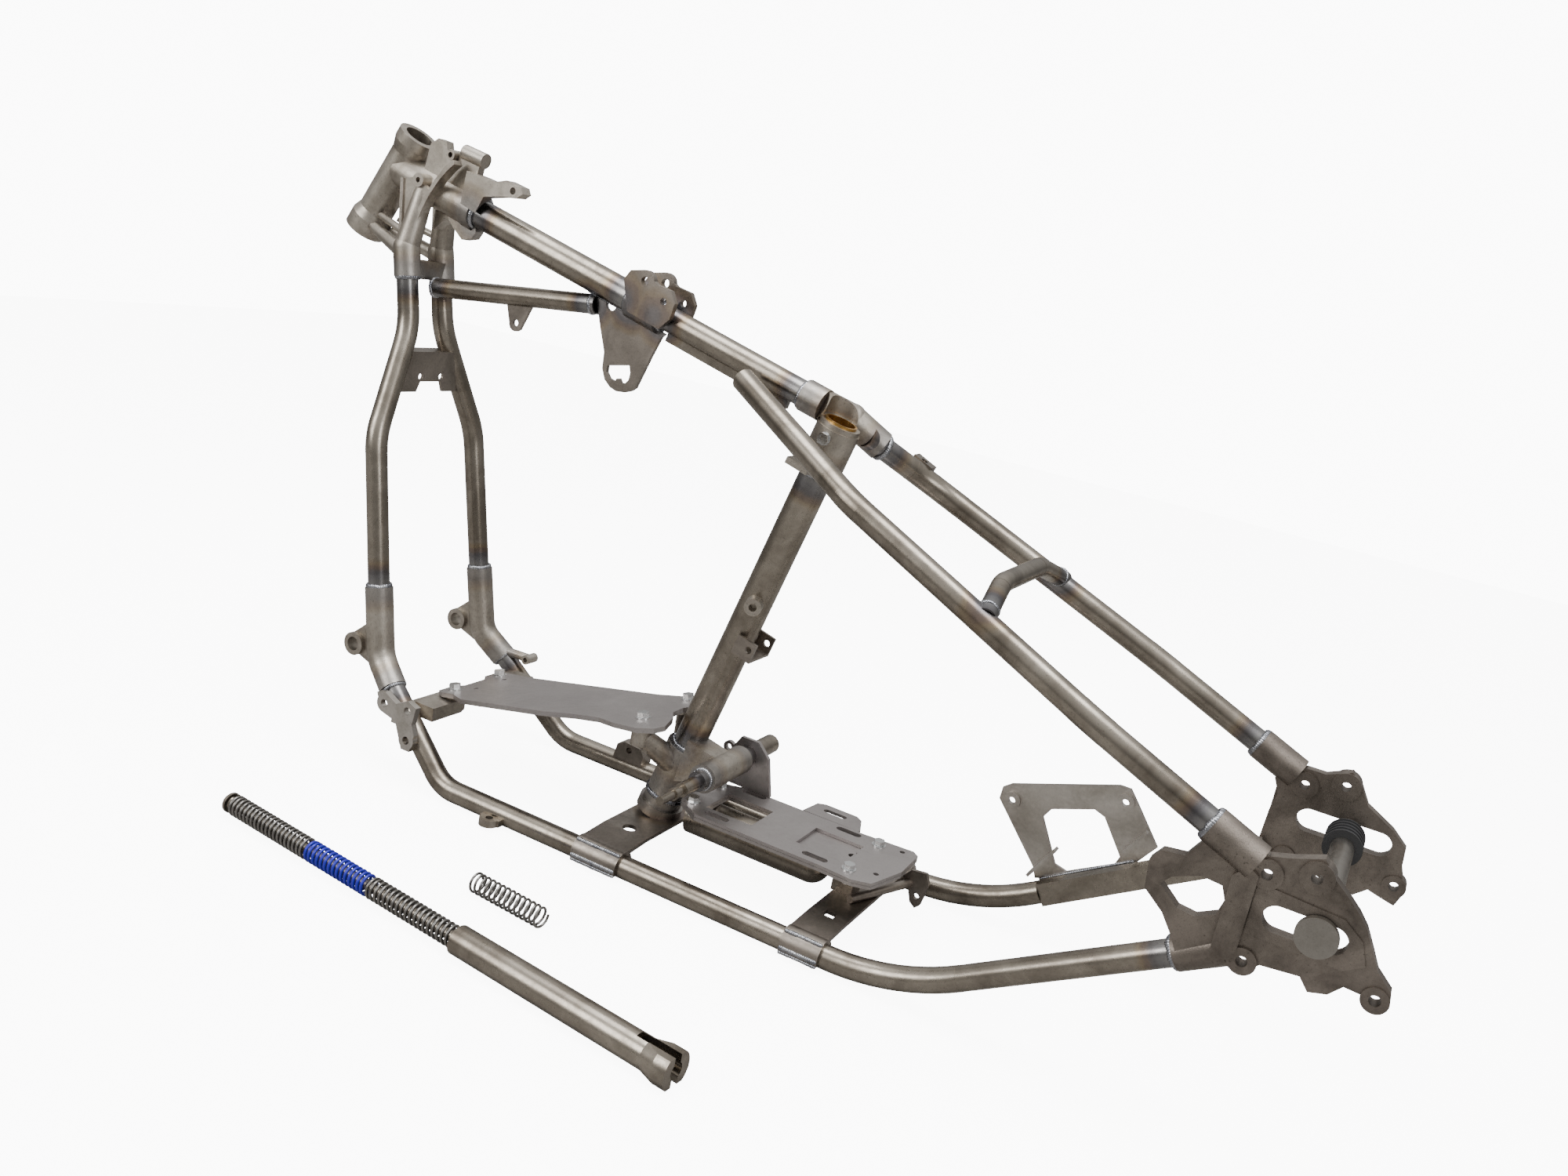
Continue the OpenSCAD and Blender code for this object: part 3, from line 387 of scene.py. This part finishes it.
# %% [markdown]
# Bare metal finishes differ in four ways: base colour, how far clouds darken
# it, how rough it is, and how coarse its surface is. One function wires the
# shared groups to a Principled shader and takes those as its settings.

# %% The metal finish
HEAT_COLOURS = [
    (0.3, (0.27, 0.2, 0.12)),
    (0.52, (0.15, 0.105, 0.09)),
    (0.72, (0.075, 0.08, 0.11)),
    (0.9, (0.16, 0.17, 0.2)),
    (1.0, (0.22, 0.23, 0.25)),
]


def metal(
    name, light, dark, rough, metallic=1.0, clouds=0.6, specks=0.25,
    coarse=(700.0, 0.00004), heat=0.0, cloud_size=9.0,
):
    """Clouds and mottle take light to dark, specks darken it further, and heat lays its film on top."""
    made = bpy.data.materials.new(name)
    made.use_nodes = True
    tree = made.node_tree
    shader = tree.nodes["Principled BSDF"]
    shader.inputs["Metallic"].default_value = metallic
    where = tree.nodes.new("ShaderNodeTexCoord").outputs["Object"]
    patches = tree.nodes.new("ShaderNodeGroup")
    patches.node_tree = clouds_group
    link(tree, where, patches.inputs["Vector"])
    patches.inputs["Cloud size"].default_value = cloud_size
    spread = math_node(tree, "MULTIPLY_ADD", patches.outputs["Clouds"], 2.4, -0.7, clamp=True)
    spread = math_node(tree, "MULTIPLY_ADD", spread, clouds, -0.2)
    spread = math_node(tree, "MULTIPLY_ADD", patches.outputs["Mottle"], 0.5, spread, clamp=True)
    colour = mix_colour(tree, spread, light, dark)
    speckled = math_node(tree, "MULTIPLY", patches.outputs["Specks"], specks)
    colour = mix_colour(tree, speckled, colour, tuple(0.35 * c for c in dark))
    roughness = math_node(tree, "MULTIPLY_ADD", patches.outputs["Mottle"], 0.25, rough - 0.125)
    if heat > 0.0:
        near = tree.nodes.new("ShaderNodeGroup")
        near.node_tree = heat_group
        link(tree, where, near.inputs["Vector"])
        film = ramp(tree, near.outputs["Closeness"], [(0.0, light)] + HEAT_COLOURS)
        amount = math_node(tree, "MULTIPLY", near.outputs["Closeness"], 2.4, clamp=True)
        amount = math_node(tree, "MULTIPLY", amount, heat)
        colour = mix_colour(tree, amount, colour, film)
    link(tree, colour, shader.inputs["Base Color"])
    link(tree, roughness, shader.inputs["Roughness"])
    bump = tree.nodes.new("ShaderNodeBump")
    bump.inputs["Strength"].default_value = 0.6
    bump.inputs["Distance"].default_value = coarse[1]
    link(tree, noise(tree, where, coarse[0], 4.0, 0.6), bump.inputs["Height"])
    link(tree, bump.outputs["Normal"], shader.inputs["Normal"])
    return made


finishes = {
    "mill_tube": metal(
        "mill_tube", (0.4, 0.36, 0.305), (0.125, 0.104, 0.082), 0.3,
        clouds=0.8, specks=0.3, heat=0.6, cloud_size=12.0,
    ),
    "cast_steel": metal(
        "cast_steel", (0.56, 0.52, 0.46), (0.21, 0.182, 0.148), 0.42,
        clouds=0.8, specks=0.4, coarse=(700.0, 0.00032), heat=0.35, cloud_size=16.0,
    ),
    "dark_casting": metal(
        "dark_casting", (0.31, 0.27, 0.235), (0.115, 0.098, 0.085), 0.44,
        clouds=0.85, specks=0.45, coarse=(650.0, 0.00035), cloud_size=18.0,
    ),
    "dark_plate": metal(
        "dark_plate", (0.42, 0.395, 0.385), (0.29, 0.265, 0.262), 0.4,
        metallic=0.9, clouds=0.6, specks=0.2, cloud_size=10.0,
    ),
    "sheet_steel": metal(
        "sheet_steel", (0.36, 0.32, 0.28), (0.16, 0.14, 0.12), 0.38,
        clouds=0.8, specks=0.3, heat=0.5, cloud_size=18.0,
    ),
    "bright_plate": metal(
        "bright_plate", (0.62, 0.59, 0.55), (0.32, 0.295, 0.26), 0.36,
        clouds=0.8, specks=0.15, cloud_size=20.0,
    ),
    "zinc": metal(
        "zinc", (0.78, 0.79, 0.79), (0.55, 0.56, 0.57), 0.24,
        clouds=0.3, specks=0.1, cloud_size=40.0,
    ),
    "bronze": metal(
        "bronze", (0.62, 0.38, 0.12), (0.42, 0.24, 0.07), 0.3,
        clouds=0.4, specks=0.1, cloud_size=30.0,
    ),
    "axle_steel": metal(
        "axle_steel", (0.35, 0.33, 0.3), (0.2, 0.185, 0.165), 0.34,
        clouds=0.5, specks=0.2, cloud_size=20.0,
    ),
    "black_collar": metal(
        "black_collar", (0.03, 0.03, 0.032), (0.012, 0.012, 0.013), 0.45,
        metallic=0.0, clouds=0.3, specks=0.0,
    ),
    "blue_spring": metal(
        "blue_spring", (0.03, 0.03, 0.5), (0.012, 0.012, 0.24), 0.3,
        metallic=0.3, clouds=0.4, specks=0.1, cloud_size=40.0,
    ),
    "spring_steel": metal(
        "spring_steel", (0.27, 0.26, 0.245), (0.12, 0.112, 0.105), 0.3,
        clouds=0.5, specks=0.2, cloud_size=40.0,
    ),
    "weld_bead": metal(
        "weld_bead", (0.5, 0.51, 0.53), (0.16, 0.165, 0.195), 0.26,
        clouds=0.9, specks=0.1, coarse=(1500.0, 0.00005), cloud_size=90.0,
    ),
}
print("finishes:", ", ".join(finishes))

# %% [markdown]
# The record says which finish each CAD piece takes, so the pieces are dressed
# by looking that up. CAD meshes stay as they are.

# %% Dress the CAD pieces
def dress(piece, material):
    if not piece.data.materials:
        piece.data.materials.append(material)
    for index in range(len(piece.data.materials)):
        piece.data.materials[index] = material


for part in frame["record"]["subparts"]:
    dress(frame["nodes"][part["node"]], finishes[part["material_slot"]])

# %% [markdown]
# A hand-made weld is a row of small overlapping puddles. Seen along the seam,
# each puddle rises sharply and falls away slowly, so the bead is a ring whose
# own thickness follows a saw-tooth with softened edges. Made as geometry, the
# beads catch the light as the real ones do.

# %% Weld beads
PUDDLE_LENGTH = 2.6


def puddle_shape(tooth):
    """From 0 to 1 along one puddle: a quick rise and a slow fall, as a share of the bead."""
    return 0.80 + 0.22 * np.sqrt(tooth) * (1.0 - 0.35 * tooth ** 6)


def add_piece(name, points, faces, body, finish):
    """A smooth mesh in the given finish that rides its body."""
    mesh = bpy.data.meshes.new(name)
    mesh.from_pydata(points.tolist(), [], faces)
    mesh.materials.append(finishes[finish])
    mesh.polygons.foreach_set("use_smooth", [True] * len(mesh.polygons))
    piece = bpy.data.objects.new(name, mesh)
    bpy.context.collection.objects.link(piece)
    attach(piece, body)
    return piece


def grid_faces(rows, columns, wrap_rows, wrap_columns):
    """Quads between neighbouring grid points, joined round where it wraps."""
    row = np.arange(rows if wrap_rows else rows - 1)
    column = np.arange(columns if wrap_columns else columns - 1)
    i, j = (grid.ravel() for grid in np.meshgrid(row, column, indexing="ij"))
    k, l = (i + 1) % rows, (j + 1) % columns
    corners = [i * columns + j, k * columns + j, k * columns + l, i * columns + l]
    return np.stack(corners, axis=1).tolist()


def ring_bead(centre, way, radius, bead, seed):
    """Ring angle u, section angle v: centre + (radius + t(u) cos v) outward + t(u) sin v along,
    where the thickness t is bead times a softened saw-tooth, one tooth for each puddle."""
    rng = np.random.default_rng(seed)
    way = np.array(way) / np.linalg.norm(way)
    side = np.cross(way, [0.3, 0.2, 0.9])
    side /= np.linalg.norm(side)
    other = np.cross(way, side)
    puddles = int(round(2 * math.pi * radius / PUDDLE_LENGTH))
    u = np.linspace(0, 2 * math.pi, puddles * 5, endpoint=False)
    v = np.linspace(0, 2 * math.pi, 10, endpoint=False)
    tooth = (u * puddles / (2 * math.pi)) % 1.0
    uneven = np.repeat(rng.uniform(0.9, 1.1, puddles), 5)
    thick = bead * uneven * puddle_shape(tooth)
    drift = 0.5 * np.sin(u * 2 + rng.uniform(0, 6)) + 0.3 * np.sin(u * 5 + rng.uniform(0, 6))
    out = (radius - 0.2 * bead + 0.8 * thick[:, None] * np.cos(v)[None, :])[..., None]
    along = (drift[:, None] + 1.15 * thick[:, None] * np.sin(v)[None, :])[..., None]
    ray = (np.cos(u)[:, None] * side + np.sin(u)[:, None] * other)[:, None, :]
    points = np.array(centre) + out * ray + along * way
    points = (points - AXLE_ON_DRAWING) / 1000.0
    return points.reshape(-1, 3), grid_faces(len(u), len(v), True, True)


for number, (name, centre, way, radius, bead) in enumerate(welds):
    points, faces = ring_bead(centre, way, radius, bead, 40 + number)
    add_piece("weld_" + name, points, faces, "frame", "weld_bead")
print("beads made:", len(welds))

# %% [markdown]
# Plates and saddles are held by straight runs of the same puddles, with
# rounded ends. A run is a bead carried along a line, closed at both ends by
# letting its thickness fall to nothing.

# %% Straight weld runs
def capped(points, rows, columns):
    """A tube of rows rings, with both open ends closed by a point each."""
    first, last = points[:columns].mean(axis=0), points[-columns:].mean(axis=0)
    count, tail = len(points), (rows - 1) * columns
    j = np.arange(columns)
    k = (j + 1) % columns
    front = np.stack([np.full(columns, count), k, j], axis=1).tolist()
    back = np.stack([np.full(columns, count + 1), tail + j, tail + k], axis=1).tolist()
    faces = grid_faces(rows, columns, False, True) + front + back
    return np.vstack([points, first, last]), faces


def straight_bead(start_at, end_at, bead, seed):
    """Share s of the line and section angle v: the same saw-tooth, with a round rise at each end."""
    rng = np.random.default_rng(seed)
    a, b = np.array(start_at, dtype=float), np.array(end_at, dtype=float)
    length = np.linalg.norm(b - a)
    way = (b - a) / length
    side = np.cross(way, [0.1, 0.3, 0.9])
    side /= np.linalg.norm(side)
    other = np.cross(way, side)
    puddles = max(4, int(round(length / PUDDLE_LENGTH)))
    s = np.linspace(0, 1, puddles * 5 + 1)
    v = np.linspace(0, 2 * math.pi, 10, endpoint=False)
    tooth = (s * puddles) % 1.0
    uneven = np.interp(s, np.linspace(0, 1, puddles + 1), rng.uniform(0.88, 1.1, puddles + 1))
    thick = bead * uneven * puddle_shape(tooth)
    past_end = np.clip(1 - np.minimum(s, 1 - s) * length / bead, 0, 1)
    thick = thick * np.sqrt(np.clip(1 - past_end ** 2, 1e-4, 1))
    drift = 0.35 * np.sin(s * length / 7 + rng.uniform(0, 6))
    middle = a + s[:, None] * (b - a) + drift[:, None] * side
    ray = np.cos(v)[:, None] * side + np.sin(v)[:, None] * other
    points = middle[:, None, :] + thick[:, None, None] * ray[None, :, :]
    points = (points.reshape(-1, 3) - AXLE_ON_DRAWING) / 1000.0
    return capped(points, len(s), len(v))


RAIL_Y, RAIL_Z = 132.4, 14.6
SADDLES = [("front", -777, 33), ("rear", -489, 25)]
ON_HANGER = np.array([0.0, -4.4, 0.0])


def saddle_runs(label, x, half, side, name):
    """Four runs along one saddle: its outer and inner lower edges, its shoulder and its side."""
    places = [
        ("outer", 17.2, -8.0, 2.6),
        ("inner", -17.2, -8.0, 2.4),
        ("top", 9.3, 16.1, 2.8),
        ("side", 18.5, -1.6, 2.8),
    ]
    made = []
    for where, out, up, bead in places:
        y, z = (RAIL_Y + out) * side, RAIL_Z + up
        made.append((f"saddle_{label}_{where}_{name}", [x - half, y, z], [x + half, y, z], bead))
    return made


runs = []
for side, name in ((-1, "left"), (1, "right")):
    for label, x, half in SADDLES:
        runs += saddle_runs(label, x, half, side, name)
runs += [
    ("hanger_left", on_backbone(262, -17.5) + ON_HANGER, on_backbone(322, -17.5) + ON_HANGER, 2.2),
    ("toolbox_foot", [-306, 152.5, 72], [-200, 155.0, 139], 2.4),
    ("scarf_lower", [-740, -27, 601], [-690, -42, 579], 2.4),
    ("tab_brace", [-1136, -2.5, 634.5], [-1102, -2.5, 638], 1.8),
]
for number, (name, a, b, bead) in enumerate(runs):
    points, faces = straight_bead(a, b, bead, 300 + number)
    add_piece("weld_" + name, points, faces, "frame", "weld_bead")
print("straight runs:", len(runs))

# %% [markdown]
# A compression spring is a wire wound on a cylinder. Its middle turns are
# evenly spaced and its last turn at each end closes up on the one before, so
# the pitch is let fall towards both ends.

# %% Springs
def wound_wire(origin, turn_deg, x0, x1, turns, radius, wire, sides=8, per_turn=26):
    """Angle t runs to 2 pi times turns; x follows a smoothed ramp that is slow in the first and last turn;
    the wire's section is a circle across the helix."""
    t = np.linspace(0, 2 * math.pi * turns, int(turns * per_turn) + 1)
    share = t / t[-1]
    closing = 0.9 / turns
    speed = 0.30 + 0.70 * np.clip(np.minimum(share, 1 - share) / closing, 0, 1) ** 1.5
    x = np.concatenate([[0], np.cumsum((speed[1:] + speed[:-1]) / 2)])
    x = x0 + wire / 2 + (x1 - x0 - wire) * x / x[-1]
    middle = np.stack([x, radius * np.cos(t), radius * np.sin(t)], axis=1)
    way = np.gradient(middle, axis=0)
    way /= np.linalg.norm(way, axis=1, keepdims=True)
    outward = np.stack([np.zeros_like(t), np.cos(t), np.sin(t)], axis=1)
    across = np.cross(way, outward)
    v = np.linspace(0, 2 * math.pi, sides, endpoint=False)
    ring = np.cos(v)[None, :, None] * outward[:, None, :] + np.sin(v)[None, :, None] * across[:, None, :]
    points = (middle[:, None, :] + wire / 2 * ring).reshape(-1, 3)
    a = math.radians(turn_deg)
    turn = np.array([[math.cos(a), math.sin(a), 0], [-math.sin(a), math.cos(a), 0], [0, 0, 1]])
    points = points @ turn + np.array(origin)
    return capped((points - AXLE_ON_DRAWING) / 1000.0, len(t), sides)


COIL_RADIUS = 11.0
PLUNGER = ([-1156.0, -364.5, 16.5], -5.78)
LOOSE = ([-840.0, -291.4, 13.0], -4.5)
springs = [
    ("spring_front", PLUNGER, 7.5, 145.0, 20, 3.9, "spring_steel", "plunger_rod", "plunger_spring_long"),
    ("spring_blue", PLUNGER, 147.0, 249.5, 15, 3.9, "blue_spring", "plunger_rod", "plunger_spring_blue"),
    ("spring_rear", PLUNGER, 252.0, 391.0, 20, 3.9, "spring_steel", "plunger_rod", "plunger_spring_short"),
    ("spring_loose", LOOSE, -1.8, 103.0, 14, 3.2, "spring_steel", "loose_spring", "loose_spring"),
]
for name, (origin, turn), x0, x1, turns, wire, finish, body, stands_for in springs:
    points, faces = wound_wire(origin, turn, x0, x1, turns, COIL_RADIUS, wire)
    piece = add_piece(name, points, faces, body, finish)
    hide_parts(stands_for)
    print(name, len(piece.data.polygons), "faces")
